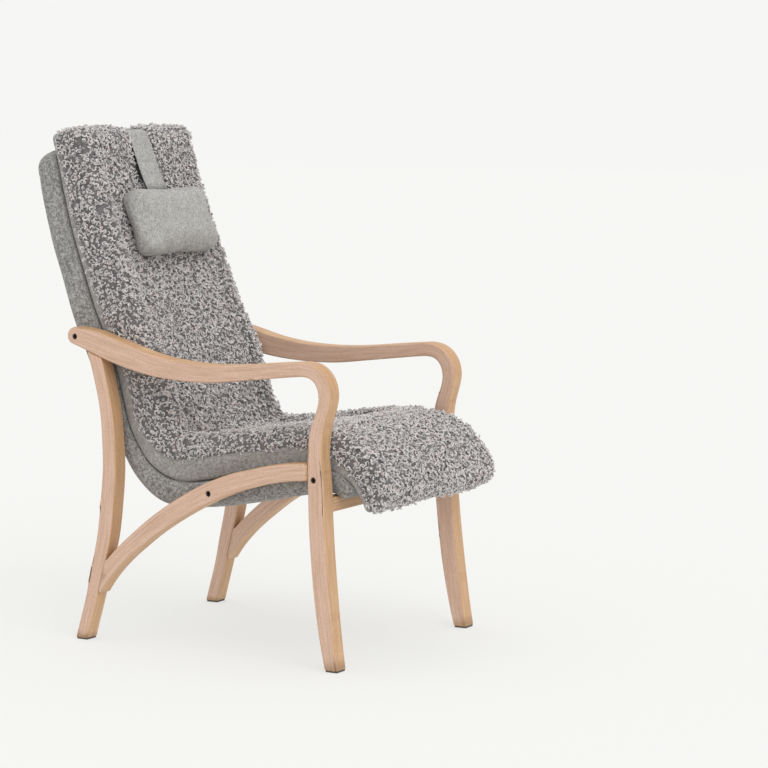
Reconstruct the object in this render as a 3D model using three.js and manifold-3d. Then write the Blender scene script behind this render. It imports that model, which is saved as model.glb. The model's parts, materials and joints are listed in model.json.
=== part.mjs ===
// A lounge armchair: two bentwood side frames, a felt-covered seat shell bolted between them, a loose
// shearling pad on the shell, and a neck pillow whose strap runs over the back to a counterweight.
//
// Sizes are in mm. The chair is drawn in side view: forward runs from the heel of the rear foot towards
// the front, up from the floor. X is across the chair, Y is minus forward, Z is up.

import * as THREE from 'three';
import { mergeVertices } from 'three/addons/utils/BufferGeometryUtils.js';
import { RoundedBoxGeometry } from 'three/addons/geometries/RoundedBoxGeometry.js';
import Module from 'manifold-3d';

const wasm = await Module();
wasm.setup();

// ---- Overall sizes ----
const frameWidth = 572; // over the front feet
const frameDepth = 659; // heel of the rear foot to the toe of the front foot
const backHeight = 1064; // floor to the top of the pad's underside
const drawnDepth = 659; // the side-view rows below are drawn for this depth
const drawnHeight = 1064; // and for this height

// ---- Side frames ----
const timberWidth = 38.5; // of every frame strip, across the chair
const toeIn = 0.0335; // each frame closes in by this much per mm to the rear
const leanIn = 0.024; // and by this much per mm of height
const fit = 0.3; // gap between pieces that touch

// ---- Feet ----
const glideHeight = 4;
const glideLength = 27;
const glideInset = 4; // from both sides of the foot

// ---- Bolts and dowels ----
const boltRadius = 3;
const headRadius = 6.2;
const headHeight = 5;
const headRecess = 8; // depth of the hole that the head sits in
const socketRadius = 2.9; // across the corners of the hexagon
const socketDepth = 3;
const insertRadius = 5;
const insertLength = 18;
const spacerRadius = 8;
const dowelRadius = 5;
const dowelPlay = 0.4;

// ---- Cross rail between the front legs ----
// gap: between the shell and the rail under it
const crossRail = { forward: 610, thickness: 25, height: 30, gap: 1.7, dowelLength: 34 };

// ---- Seat shell ----
const shellGapAtArm = 6; // between the shell and the frame at the arm bolt
const shellGapAtLeg = 10; // and at the front leg bolt
const shellStart = 34; // the shell's top edge, along the seat line
const shellCorner = 38; // radius of its top rear corner
const shellEndSpan = 20; // the row of the seat line where the shell ends
const coverThickness = 5;
const railWidth = 24;
const railSetback = 12; // from the shell's upper face to the rail
const railPlay = 2.2; // between the rail and the cover below it
const webGap = 0.7; // between a rail and the webbing on it
const webThickness = 2.5;
const webWidth = 55;
const zipWidth = 9;
const zipInset = 30; // from each side of the shell
const zipAlong = 1120; // where it closes the underside, along the seat line
const crossBar = { width: 46, thickness: 20 };
const barsAlong = { head: 85, lumbar: 560, seat_front: 1035 }; // along the seat line
const websAlong = [170, 290, 410, 660, 810, 950]; // upper edge of each webbing band
const railEndGap = 62; // between the rail's front end and the shell's
const boltInRail = 16; // how far a bolt reaches into the rail

// ---- Pad ----
const padClearance = 1.2; // over the shell
const padCorner = 22; // radius of the pad's outer corners
const padEdge = 14; // thickness of the fleece, and of everything at the pad's ends
const feltThickness = 4;
// The hollow between the pad's side rolls, along the seat line: it deepens up to full and is gone again at
// the front of the seat. wall is the fleece beside it.
const padHollow = { half: 150, depth: 12, from: 20, full: 140, back: 1090, gone: 1190, wall: 12 };

// ---- Neck pillow, strap and counterweight ----
const pillow = { width: 268, height: 154, thickness: 68, corner: 31, skin: 3, clearance: 3, along: 230 };
// sink: into the fleece over the top of the back; rise: over the fleece where it meets the pillow
const strap = { width: 70, thickness: 2.5, sink: 9, rise: 20, endGap: 0.8 };
const pouch = { width: 112, height: 128, thickness: 22, corner: 9, skin: 3, clearance: 3, along: 300 };
const bar = { width: 84, height: 96, thickness: 8, corner: 3 };

const colours = {
  beech: { color: 0xdcbfa9, roughness: 0.5 },
  birchPly: { color: 0xd8b98f, roughness: 0.65 },
  felt: { color: 0x9c9c9c, roughness: 0.95 },
  shearling: { color: 0xa8a4a6, roughness: 1 },
  foam: { color: 0xe9e4c8, roughness: 0.9 },
  fibre: { color: 0xf2f2ee, roughness: 0.95 },
  webbing: { color: 0x3a3a3c, roughness: 0.9 },
  steel: { color: 0x4a4a4c, roughness: 0.45, metalness: 0.9 },
  brass: { color: 0xb59a58, roughness: 0.4, metalness: 0.9 },
  glide: { color: 0x55524f, roughness: 0.7 },
  plastic: { color: 0x2b2b2d, roughness: 0.6 },
};

// ---- Side-view rows: forward, up and depth of each strip, from one end to the other ----
const armRows = [
  [-8, 642, 36], [20, 636.5, 42.5], [54, 627.5, 47.5], [88, 617, 48.5], [141, 602.5, 48],
  [192, 591, 44.5], [256, 583, 40.5], [340, 580.5, 37], [419, 586.5, 32], [493, 594.5, 30.5],
  [548, 600, 29], [571, 601.5, 29], [591, 598, 29], [607, 587.5, 29], [618, 570.5, 29], [622, 550, 28.5],
  [620.5, 534, 27], [615, 514, 27], [608, 493, 29], [602, 465, 31.5], [600, 435, 32], [601, 406, 34],
  [603.5, 376, 37], [606.5, 306, 38], [612.5, 226, 38], [621, 147, 37], [632.5, 67, 33], [644.8, 0, 28],
  [648.5, -20, 27],
];
const rearLegRows = [
  [40, 622, 33], [46.5, 602, 32], [58, 564, 31], [69, 523, 31], [77.5, 482, 32], [83, 428, 33.5],
  [85.5, 365, 34.5], [81, 301, 35.5], [71.5, 222, 34.5], [53.5, 151, 30.5], [37.5, 86, 27.5],
  [21.5, 31, 27.5], [9.5, -12, 28],
];
const braceRows = [
  [50, 112, 32], [67, 136, 32.5], [89, 162, 33.2], [122, 194, 34], [158, 224, 35.4], [194, 252, 36.8],
  [234, 279, 38.6], [274, 303, 39.8], [315, 325, 40.6], [356, 344, 40.4], [401, 361, 39.6],
  [446, 374, 38], [490, 385, 36.6], [536, 393, 35.4], [582, 397.5, 35], [600, 399, 35],
];
// The seat line is where the pad lies on the shell, from the top of the back to the front edge of the
// seat. Its rows give forward, up, the shell's depth below it, the pad's depth above it, and the height of
// the pad's felt band.
const seatRows = [
  [-97, 1064, 50, 86, 12], [-84.5, 995, 53, 91, 16], [-68, 923.5, 56, 96, 20], [-47.5, 850, 57, 100, 22],
  [-21.5, 777, 58, 102, 23], [9.5, 694, 60, 104, 25], [38, 632, 60, 104, 27], [64, 570, 58, 108, 28],
  [81.5, 507.5, 53, 112, 29], [97, 455.5, 46, 112, 32], [120.5, 413.5, 43, 108, 36],
  [154, 375, 47, 103, 40], [198, 351, 54, 99, 45], [249, 344.5, 51, 97, 48], [311, 353.5, 56, 94, 50],
  [420, 377.5, 61, 85, 46], [531, 400, 60, 78, 42], [590, 402, 52, 75, 34], [634, 388, 42, 75, 20],
  [664, 363, 35, 71, 14], [682, 335, 14, 66, 10], [689.5, 316, 12, 58, 8],
];
const shell = 0; // columns of the seat line
const pad = 1;
const band = 2;

// Where the bolts go through, in side view.
const bolts = {
  arm: { forward: -6, up: 640.5 },
  brace: { forward: 341.5, up: 335.5 },
  leg: { forward: 598.5, up: 382.5 },
};
// Dowels between the strips, from end to end in side view.
const dowels = {
  arm: [[53, 582], [42, 621]],
  brace_front: [[566, 397], [603, 400]],
  brace_rear: [[49, 148], [88, 152]],
};

// ---- Side view ----
const place = (forward, up) => [forward * frameDepth / drawnDepth, up * backHeight / drawnHeight];

// A smooth line through rows of forward, up and depths. t runs from 0 to 1 evenly over the rows.
function bentLine(rows, divisions = 600) {
  const path = new THREE.CatmullRomCurve3(
    rows.map(([forward, up]) => new THREE.Vector3(...place(forward, up), 0)), false, 'centripetal');
  path.arcLengthDivisions = divisions;
  const lengths = path.getLengths();
  const depths = rows[0].slice(2).map((_, column) => new THREE.SplineCurve(
    rows.map((row, index) => new THREE.Vector2(index, row[column + 2]))));
  return {
    spans: rows.length - 1,
    length: path.getLength(),
    at: (distance) => path.getUtoTmapping(0, distance),
    distance(t) {
      const index = Math.min(Math.floor(t * divisions), divisions - 1);
      return THREE.MathUtils.lerp(lengths[index], lengths[index + 1], t * divisions - index);
    },
    depth: (t, column = 0) => depths[column].getPoint(t).y,
    // The point at t, moved off the line: up from a forward line, forward from a line that runs down.
    point(t, offset = 0) {
      const on = path.getPoint(t);
      const tangent = path.getTangent(t);
      return new THREE.Vector2(on.x - tangent.y * offset, on.y + tangent.x * offset);
    },
  };
}

const evenly = (from, to, steps) =>
  Array.from({ length: steps + 1 }, (_, i) => from + (to - from) * i / steps);

// A closed outline between two offsets of a line, at the given places along it.
function between(line, places, lower, upper) {
  return [
    ...places.map((t) => line.point(t, upper(t))),
    ...places.toReversed().map((t) => line.point(t, lower(t))),
  ];
}

// A strip of timber, narrowed or widened by trim on each face, with half a circle on a rounded start.
function stripOutline(line, { trim = 0, steps = 5, rounded = false } = {}) {
  const half = (t) => line.depth(t) / 2 + trim;
  const outline = between(line, evenly(0, 1, line.spans * steps), (t) => -half(t), half);
  if (!rounded) return outline;
  const centre = line.point(0);
  const top = line.point(0, half(0)).sub(centre);
  const cap = evenly(0, Math.PI, 8).slice(1, -1)
    .map((angle) => top.clone().rotateAround(new THREE.Vector2(), angle).add(centre));
  return [...outline, ...cap.toReversed()];
}

// ---- Solids ----
// An outline in side view, extruded across the chair.
function slab(outline, x0, x1) {
  const shape = new THREE.Shape(outline.map(({ x, y }) => new THREE.Vector2(-x, y)));
  const geometry = new THREE.ExtrudeGeometry(shape, { depth: x1 - x0, bevelEnabled: false });
  const acrossX = new THREE.Matrix4().makeBasis(
    new THREE.Vector3(0, 1, 0), new THREE.Vector3(0, 0, 1), new THREE.Vector3(1, 0, 0));
  return geometry.applyMatrix4(acrossX).translate(x0, 0, 0);
}

// A block in side view, centred on a point and turned by an angle from upright.
function block({ x: forward, y: up }, thickness, height, x0, x1, angle = 0) {
  const centre = new THREE.Vector2(forward, up);
  const corners = [[-1, -1], [1, -1], [1, 1], [-1, 1]].map(([i, j]) =>
    new THREE.Vector2(forward + i * thickness / 2, up + j * height / 2).rotateAround(centre, angle));
  return slab(corners, x0, x1);
}

// A rod across the chair at a point in side view.
function crossRod([forward, up], radius, x0, x1, sides = 16) {
  return new THREE.CylinderGeometry(radius, radius, x1 - x0, sides)
    .rotateZ(Math.PI / 2).translate((x0 + x1) / 2, -forward, up);
}

// A rod between two points in side view, halfway through the timber.
function sideRod([start, end], radius, longer = 0) {
  const [a, b] = [place(...start), place(...end)].map(([forward, up]) =>
    new THREE.Vector3(timberWidth / 2, -forward, up));
  const along = b.clone().sub(a);
  const turn = new THREE.Quaternion().setFromUnitVectors(
    new THREE.Vector3(0, 1, 0), along.clone().normalize());
  return new THREE.CylinderGeometry(radius, radius, along.length() + 2 * longer, 12)
    .applyQuaternion(turn).translate(...a.add(b).multiplyScalar(0.5).toArray());
}

// A turned piece across the chair: profile is a closed list of [radius, x].
function turned([forward, up], profile) {
  return new THREE.LatheGeometry(profile.map(([radius, x]) => new THREE.Vector2(radius, x)), 12)
    .rotateZ(-Math.PI / 2).translate(0, -forward, up);
}

const sleeve = (centre, inner, outer, x0, x1) =>
  turned(centre, [[inner, x0], [outer, x0], [outer, x1], [inner, x1], [inner, x0]]);

function solid(geometry) {
  const bare = geometry.clone();
  bare.deleteAttribute('normal');
  bare.deleteAttribute('uv');
  const merged = mergeVertices(bare, 1e-3);
  return new wasm.Manifold(new wasm.Mesh({
    numProp: 3,
    vertProperties: new Float32Array(merged.attributes.position.array),
    triVerts: new Uint32Array(merged.index.array),
  }));
}

function geometryOf(manifold) {
  const { vertProperties, triVerts } = manifold.getMesh();
  return new THREE.BufferGeometry()
    .setAttribute('position', new THREE.BufferAttribute(vertProperties, 3))
    .setIndex(new THREE.BufferAttribute(triVerts, 1));
}

const cut = (geometry, ...tools) =>
  geometryOf(tools.reduce((left, tool) => left.subtract(solid(tool)), solid(geometry)));

// Moves every vertex's x by a rule of x, forward and up.
function reshape(geometry, rule) {
  const { position } = geometry.attributes;
  for (let i = 0; i < position.count; i++) {
    position.setX(i, rule(position.getX(i), -position.getY(i), position.getZ(i)));
  }
  return geometry;
}

// The same piece on the other side of the chair.
function mirrored(geometry) {
  const copy = geometry.clone();
  copy.scale(-1, 1, 1);
  const order = copy.index ?? new THREE.BufferAttribute(
    Uint32Array.from({ length: copy.attributes.position.count }, (_, i) => i), 1);
  for (let i = 0; i < order.count; i += 3) {
    const second = order.getX(i + 1);
    order.setX(i + 1, order.getX(i + 2));
    order.setX(i + 2, second);
  }
  return copy.setIndex(order);
}

// ---- The chair as a group ----
const chair = new THREE.Group();

function add(name, geometry, colour) {
  const bare = geometry.index ? geometry.toNonIndexed() : geometry;
  bare.computeVertexNormals();
  const mesh = new THREE.Mesh(bare, new THREE.MeshStandardMaterial(colours[colour]));
  mesh.name = name;
  chair.add(mesh);
}

function addPair(name, geometry, colour) {
  add(`${name}_left`, geometry, colour);
  add(`${name}_right`, mirrored(geometry), colour);
}

// ---- Where the side frames and the shell stand across the chair ----
const toe = place(drawnDepth, 0)[0];
const frameInner = (forward, up) =>
  frameWidth / 2 - timberWidth - toeIn * (toe - forward) - leanIn * up;
const leanFrame = (geometry) => reshape(geometry, (x, forward, up) => x + frameInner(forward, up));

const armBolt = place(bolts.arm.forward, bolts.arm.up);
const legBolt = place(bolts.leg.forward, bolts.leg.up);
const halfAtArm = frameInner(...armBolt) - shellGapAtArm;
const halfAtLeg = frameInner(...legBolt) - shellGapAtLeg;
const widening = (halfAtLeg - halfAtArm) / (legBolt[0] - armBolt[0]);
const seatHalf = halfAtArm - widening * armBolt[0]; // half the shell's and the pad's width at the heel
const halfWidth = (forward) => seatHalf + widening * forward;
const widen = (geometry) => reshape(geometry, (x, forward) => x * halfWidth(forward) / seatHalf);
const railOuter = seatHalf - coverThickness - fit;

// ---- Side frames ----
const arm = bentLine(armRows);
const rearLeg = bentLine(rearLegRows);
const brace = bentLine(braceRows);

const whole = (line, options) => slab(stripOutline(line, options), 0, timberWidth);
const wider = (line) => slab(stripOutline(line, { trim: fit }), -1, timberWidth + 1);
const belowFeet = block({ x: frameDepth / 2, y: -100 }, frameDepth * 2, 200 + 2 * (glideHeight + fit),
  -1, timberWidth + 1);
const dowelHole = (name) => sideRod(dowels[name], dowelRadius + dowelPlay, dowelPlay);

function boltHoles({ forward, up }) {
  const centre = place(forward, up);
  return [
    crossRod(centre, boltRadius + fit, -1, timberWidth + 1),
    crossRod(centre, headRadius + dowelPlay, timberWidth - headRecess, timberWidth + 1),
  ];
}

function railDowel(play) {
  const centre = crossRailCentre();
  const middle = frameInner(...centre);
  const half = crossRail.dowelLength / 2 + play;
  return crossRod(centre, dowelRadius + play, middle - half, middle + half, 12);
}

function addSideFrames() {
  const legDowelHole = reshape(railDowel(dowelPlay), (x, forward, up) => x - frameInner(forward, up));
  const armLeg = cut(whole(arm, { rounded: true }), belowFeet,
    ...boltHoles(bolts.arm), ...boltHoles(bolts.leg),
    dowelHole('arm'), dowelHole('brace_front'), legDowelHole);
  const rear = cut(whole(rearLeg), wider(arm), belowFeet, dowelHole('arm'), dowelHole('brace_rear'));
  const diagonal = cut(whole(brace), wider(arm), wider(rearLeg), ...boltHoles(bolts.brace),
    dowelHole('brace_front'), dowelHole('brace_rear'));
  addPair('front_leg_arm', leanFrame(armLeg), 'beech');
  addPair('rear_leg', leanFrame(rear), 'beech');
  addPair('side_brace', leanFrame(diagonal), 'beech');
  for (const name of Object.keys(dowels)) {
    addPair(`${name}_dowel`, leanFrame(sideRod(dowels[name], dowelRadius)), 'birchPly');
  }
}

// The middle of a strip where it meets the floor, in side view.
function footCentre(line) {
  const places = evenly(0.5, 1, 400);
  return line.point(places.find((t) => line.point(t).y < glideHeight)).x;
}

function addGlides() {
  for (const [name, line] of [['front', arm], ['rear', rearLeg]]) {
    const centre = { x: footCentre(line), y: glideHeight / 2 };
    const glide = block(centre, glideLength, glideHeight, glideInset, timberWidth - glideInset);
    addPair(`${name}_foot_glide`, leanFrame(glide), 'glide');
  }
}

function addFrontCrossRail() {
  const [forward, up] = crossRailCentre();
  const outline = block({ x: forward, y: up }, crossRail.thickness, crossRail.height, -1, 1);
  const rail = reshape(outline, (x, f, u) => x * (frameInner(f, u) - fit));
  const hole = railDowel(dowelPlay);
  add('front_cross_rail', cut(rail, hole, mirrored(hole)), 'beech');
  addPair('cross_rail_dowel', railDowel(0), 'birchPly');
}

// ---- Bolts, spacers and threaded inserts ----
function addFasteners() {
  const turns = { insert: 'brass', spacer: 'steel', bolt: 'steel' };
  for (const [name, { forward, up }] of Object.entries(bolts)) {
    const centre = place(forward, up);
    // Across the chair, measured from the frame's inner face: the rail lies on the other side of the gap.
    const rail = railOuter * halfWidth(centre[0]) / seatHalf - frameInner(...centre);
    const headFloor = timberWidth - headRecess;
    const pieces = {
      insert: sleeve(centre, boltRadius + fit, insertRadius, rail - insertLength, rail - fit),
      spacer: sleeve(centre, boltRadius + fit, spacerRadius, rail + 2 * fit, -fit),
      bolt: cut(
        turned(centre, [
          [0, rail - boltInRail], [boltRadius, rail - boltInRail], [boltRadius, headFloor + fit],
          [headRadius, headFloor + fit], [headRadius, headFloor + fit + headHeight],
          [0, headFloor + fit + headHeight],
        ]),
        crossRod(centre, socketRadius, headFloor + fit + headHeight - socketDepth, timberWidth, 6)),
    };
    for (const kind of Object.keys(turns)) {
      addPair(`${name}_${kind}`, leanFrame(pieces[kind]), turns[kind]);
    }
  }
}

// ---- Seat shell ----
const seat = bentLine(seatRows);
const shellEnd = shellEndSpan / seat.spans;

// How much a rounded corner takes off at a distance from the end.
function cornerLoss(distance, radius) {
  const short = radius - THREE.MathUtils.clamp(distance, 0, radius);
  return radius - Math.sqrt(radius ** 2 - short ** 2);
}

// Places along the seat line from one distance to a place, close together on the rounded corner.
function seatPlaces(start, radius, end, steps = 2) {
  const corner = evenly(0, Math.PI / 2, 5).map((angle) => seat.at(start + radius * (1 - Math.cos(angle))));
  const first = seat.at(start + radius * 1.15);
  const rest = evenly(0, 1, seat.spans * steps).filter((t) => t > first && t < end);
  return [...corner, ...rest, end];
}

// The shell's outline, smaller by inset on every side.
function shellOutline(inset) {
  const start = shellStart + inset;
  const radius = shellCorner - inset;
  const end = inset ? seat.at(seat.distance(shellEnd) - 2.5 * inset) : shellEnd;
  return between(seat, seatPlaces(start, radius, end),
    (t) => inset - seat.depth(t, shell) + cornerLoss(seat.distance(t) - start, radius), () => -inset);
}

const railBottom = (t) => coverThickness + railPlay - seat.depth(t, shell);
const railAngle = (t) => {
  const across = seat.point(t, 1).sub(seat.point(t));
  return Math.atan2(across.y, across.x);
};

function addShell() {
  const railEnd = seat.at(seat.distance(shellEnd) - railEndGap);
  const places = evenly(seat.at(shellStart + shellCorner), railEnd, 44);
  const rail = slab(between(seat, places, railBottom, () => -railSetback), railOuter - railWidth, railOuter);
  const boltSites = Object.values(bolts).map(({ forward, up }) => place(forward, up));
  const insertHoles = boltSites.map((centre) =>
    crossRod(centre, insertRadius + fit, railOuter - insertLength - 3, railOuter + 3));
  addPair('shell_rail', widen(cut(rail, ...insertHoles)), 'birchPly');

  // Bars between the two rails: at the head, behind the lumbar bend and under the front of the seat.
  const barHalf = railOuter - railWidth - fit;
  for (const [name, distance] of Object.entries(barsAlong)) {
    const t = seat.at(distance);
    const middle = (railBottom(t) - railSetback) / 2;
    add(`shell_${name}_bar`, widen(block(seat.point(t, middle), crossBar.thickness, crossBar.width,
      -barHalf, barHalf, railAngle(t))), 'birchPly');
  }

  // Elastic webbing across the rails.
  const webOffset = webGap - railSetback;
  websAlong.forEach((distance, index) => {
    const places = evenly(seat.at(distance), seat.at(distance + webWidth), 3);
    const outline = between(seat, places, () => webOffset, () => webOffset + webThickness);
    add(`webbing_${index + 1}`, widen(slab(outline, -railOuter, railOuter)), 'webbing');
  });

  const innerHalf = seatHalf - coverThickness;
  const inner = slab(shellOutline(coverThickness), -innerHalf, innerHalf);
  const zipPlaces = (spare) =>
    evenly(seat.at(zipAlong - spare), seat.at(zipAlong + zipWidth + spare), 2);
  const zipHalf = seatHalf - zipInset;
  const closing = (spare, low, high) => slab(
    between(seat, zipPlaces(spare), (t) => low - seat.depth(t, shell), (t) => high - seat.depth(t, shell)),
    -zipHalf - spare, zipHalf + spare);
  const spacerHoles = boltSites.flatMap((centre) => {
    const hole = crossRod(centre, spacerRadius + fit, seatHalf - coverThickness - 3, seatHalf + 3);
    return [hole, mirrored(hole)];
  });
  const cover = cut(slab(shellOutline(0), -seatHalf, seatHalf), inner,
    closing(fit, -3, coverThickness + 3), ...spacerHoles);
  add('shell_cover', widen(cover), 'felt');
  add('shell_zip', widen(closing(0, 1, coverThickness - 1)), 'plastic');
}

// The cross rail hangs just under the lowest part of the shell that it crosses.
function crossRailCentre() {
  const forward = place(crossRail.forward, 0)[0];
  const over = evenly(0, shellEnd, 2000).map((t) => seat.point(t, -seat.depth(t, shell)))
    .filter(({ x }) => Math.abs(x - forward) < crossRail.thickness / 2 + 1);
  const lowest = Math.min(...over.map(({ y }) => y));
  return [forward, lowest - crossRail.gap - crossRail.height / 2];
}

// ---- Pad ----
// An outline above the seat line, from one offset up to the pad's surface less an inset.
function padOutline(lower, upperInset, endInset) {
  const start = endInset;
  const radius = Math.max(padCorner - endInset, 6);
  const end = endInset ? seat.at(seat.length - endInset) : 1;
  const endDistance = seat.distance(end);
  const last = evenly(0, Math.PI / 2, 5).map((angle) =>
    seat.at(endDistance - radius * (1 - Math.cos(angle))));
  const places = [
    ...seatPlaces(start, radius, seat.at(endDistance - radius * 1.15)).slice(0, -1),
    ...last.toReversed(),
  ];
  return between(seat, places, lower, (t) => {
    const fromEnd = Math.min(seat.distance(t) - start, endDistance - seat.distance(t));
    return seat.depth(t, pad) - upperInset - cornerLoss(fromEnd, radius);
  });
}

const bandTop = (t) => seat.depth(t, band);

function hollow(t) {
  const { depth, from, full, back, gone } = padHollow;
  const along = seat.distance(t);
  const { smoothstep } = THREE.MathUtils;
  return depth * smoothstep(along, from, full) * (1 - smoothstep(along, back, gone));
}

// What the hollow takes off a layer that lies inset below the pad's surface.
function trough(inset, wall) {
  const places = evenly(seat.at(padHollow.from * 1.5), seat.at(padHollow.gone - padHollow.from / 2), 48);
  const half = padHollow.half + wall;
  return slab(between(seat, places, (t) => seat.depth(t, pad) - inset - hollow(t),
    (t) => seat.depth(t, pad) + padHollow.depth), -half, half);
}

// A layer of the pad between two offsets with square ends.
function padLayer(lower, upper, endInset, x) {
  const places = [seat.at(endInset), ...evenly(0, 1, seat.spans * 2).slice(1, -1)
    .filter((t) => t > seat.at(endInset + 3) && t < seat.at(seat.length - endInset - 3)),
    seat.at(seat.length - endInset)];
  return slab(between(seat, places, lower, upper), -x, x);
}

function addPad(strapGroove) {
  const innerHalf = seatHalf - feltThickness;
  const surface = slab(padOutline((t) => bandTop(t) + fit, 0, 0), -seatHalf, seatHalf);
  const underFleece = slab(padOutline(() => 0, padEdge, padEdge), -innerHalf - fit, innerHalf + fit);
  const foamRoom = cut(underFleece, trough(padEdge, padHollow.wall));
  add('pad_fleece', widen(cut(surface, foamRoom, trough(0, 0), strapGroove)), 'shearling');

  const tray = padLayer(() => padClearance, bandTop, 0, seatHalf);
  const inside = padLayer(() => padClearance + feltThickness, (t) => bandTop(t) + 20, padEdge, innerHalf);
  add('pad_cover', widen(cut(tray, inside, strapGroove)), 'felt');

  const core = slab(padOutline(() => padClearance + feltThickness + fit, padEdge + fit, padEdge + fit),
    fit - innerHalf, innerHalf - fit);
  add('pad_core', widen(cut(core, trough(padEdge + fit, padHollow.wall + fit))), 'foam');
}

// ---- Neck pillow ----
// The pillow and the pouch lie along straight stretches of the back. Each is turned to its chord.
function onBack({ along, height }, offset) {
  const [upper, lower] = [along - height / 2, along + height / 2].map((d) => {
    const t = seat.at(d);
    return seat.point(t, offset(t));
  });
  const chord = upper.clone().sub(lower);
  return { centre: upper.clone().add(lower).multiplyScalar(0.5), angle: Math.atan2(-chord.x, chord.y) };
}

function roundedBox({ centre, angle }, { width, height, thickness, corner }, inset, segments = 3) {
  const size = [width, thickness, height].map((length) => length - 2 * inset);
  return new RoundedBoxGeometry(...size, segments, corner - inset)
    .rotateX(angle * -1).translate(0, -centre.x, centre.y);
}

const pillowSeat = onBack(pillow, (t) =>
  seat.depth(t, pad) - hollow(t) + pillow.clearance + pillow.thickness / 2);
const pouchSeat = onBack(pouch, (t) => -seat.depth(t, shell) - pouch.clearance - pouch.thickness / 2);

// A point above the middle of such a piece, and in front of it, along the piece's own directions.
function offAxis({ centre, angle }, above, inFront) {
  return new THREE.Vector2(inFront, above).rotateAround(new THREE.Vector2(), angle).add(centre);
}

function addNeckPillow() {
  const slit = block(pillowSeat.centre, pillow.thickness / 4, pillow.height * 0.7,
    -pillow.width, -pillow.width / 2 + pillow.skin * 2, pillowSeat.angle);
  const hollow = roundedBox(pillowSeat, pillow, pillow.skin);
  add('neck_pillow_cover', cut(roundedBox(pillowSeat, pillow, 0), hollow, slit), 'felt');
  add('neck_pillow_filling', roundedBox(pillowSeat, pillow, pillow.skin + fit), 'fibre');
}

function addCounterweight() {
  const slit = block(pouchSeat.centre, pouch.thickness / 3, pouch.height * 0.6,
    -pouch.width, -pouch.width / 2 + pouch.skin * 2, pouchSeat.angle);
  const hollow = roundedBox(pouchSeat, pouch, pouch.skin, 2);
  add('counterweight_pouch', cut(roundedBox(pouchSeat, pouch, 0, 2), hollow, slit), 'felt');
  add('counterweight_bar', roundedBox(pouchSeat, bar, 0, 1), 'steel');
}

// ---- Strap ----
// Its middle, from the pillow over the top of the pad and the shell to the pouch.
function strapLine() {
  const rise = strap.thickness / 2 + fit;
  const sink = strap.sink - rise;
  const radius = padCorner - sink;
  const pillowTop = pillow.along - pillow.height / 2 - strap.thickness;
  const behind = pillow.thickness / 2 + pillow.clearance - strap.rise; // the pillow's middle
  const intoCorner = Math.max(behind - pillow.thickness / 2 + pillow.corner, 0);
  const drop = cornerLoss(pillow.corner - intoCorner, pillow.corner);
  const first = offAxis(pillowSeat, pillow.height / 2 - drop + strap.endGap, -behind);
  const front = evenly(0, 1, 6).slice(1).map((share) => {
    const t = seat.at(THREE.MathUtils.lerp(pillowTop, sink + radius * 1.1, share));
    const lift = (strap.rise + sink) * (1 - share);
    return seat.point(t, seat.depth(t, pad) - hollow(t) - sink + lift);
  });
  const corner = evenly(0, Math.PI / 2, 4).toReversed().map((angle) => {
    const distance = radius * (1 - Math.cos(angle));
    const t = seat.at(sink + distance);
    return seat.point(t, seat.depth(t, pad) - sink - cornerLoss(distance, radius));
  });
  const over = [0.35, 0.1].map((share) => {
    const t = seat.at(sink);
    return seat.point(t, seat.depth(t, pad) * share);
  });
  const clear = rise + 1;
  const shellRadius = shellCorner + clear;
  const head = evenly(0, Math.PI / 2, 4).map((angle) => {
    const distance = shellRadius * (1 - Math.cos(angle));
    const t = seat.at(shellStart - clear + distance);
    return seat.point(t, cornerLoss(distance, shellRadius) - seat.depth(t, shell) - clear);
  });
  const down = evenly(shellStart + shellRadius * 1.4, pouch.along - pouch.height / 2 - 14, 4).map((d) => {
    const t = seat.at(d);
    return seat.point(t, -seat.depth(t, shell) - clear);
  });
  const last = offAxis(pouchSeat, pouch.height / 2 + strap.endGap, 0);
  const route = [first, ...front, ...corner, ...over, ...head, ...down, last];
  return new THREE.CatmullRomCurve3(
    route.map(({ x, y }) => new THREE.Vector3(x, y, 0)), false, 'centripetal');
}

function strapSlab(line, below, above, half, steps) {
  const rows = evenly(0, 1, steps).map((t) => ({ on: line.getPoint(t), tangent: line.getTangent(t) }));
  const shifted = (offset) => rows.map(({ on, tangent }) =>
    new THREE.Vector2(on.x + tangent.y * offset, on.y - tangent.x * offset));
  return slab([...shifted(above), ...shifted(-below).toReversed()], -half, half);
}

function addStrap(line) {
  add('neck_strap', strapSlab(line, strap.thickness / 2, strap.thickness / 2, strap.width / 2, 60), 'felt');
}

// ---- Assembly ----
addSideFrames();
addGlides();
addFrontCrossRail();
addFasteners();
addShell();
const route = strapLine();
addPad(strapSlab(route, strap.thickness / 2 + fit, strap.sink + 4, strap.width / 2 + 1.5, 60));
addNeckPillow();
addCounterweight();
addStrap(route);

// The origin is under the middle of the chair, on the floor.
chair.updateMatrixWorld(true);
const box = new THREE.Box3().setFromObject(chair);
chair.children.forEach((mesh) => mesh.geometry.translate(0, -(box.min.y + box.max.y) / 2, 0));

export default chair;
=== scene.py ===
# A lounge armchair: bentwood side frames, a felt-covered shell, a shearling pad and a neck pillow.
import json
import math
import random

import bmesh
import bpy
import numpy as np
from mathutils import Matrix, Vector


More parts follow.
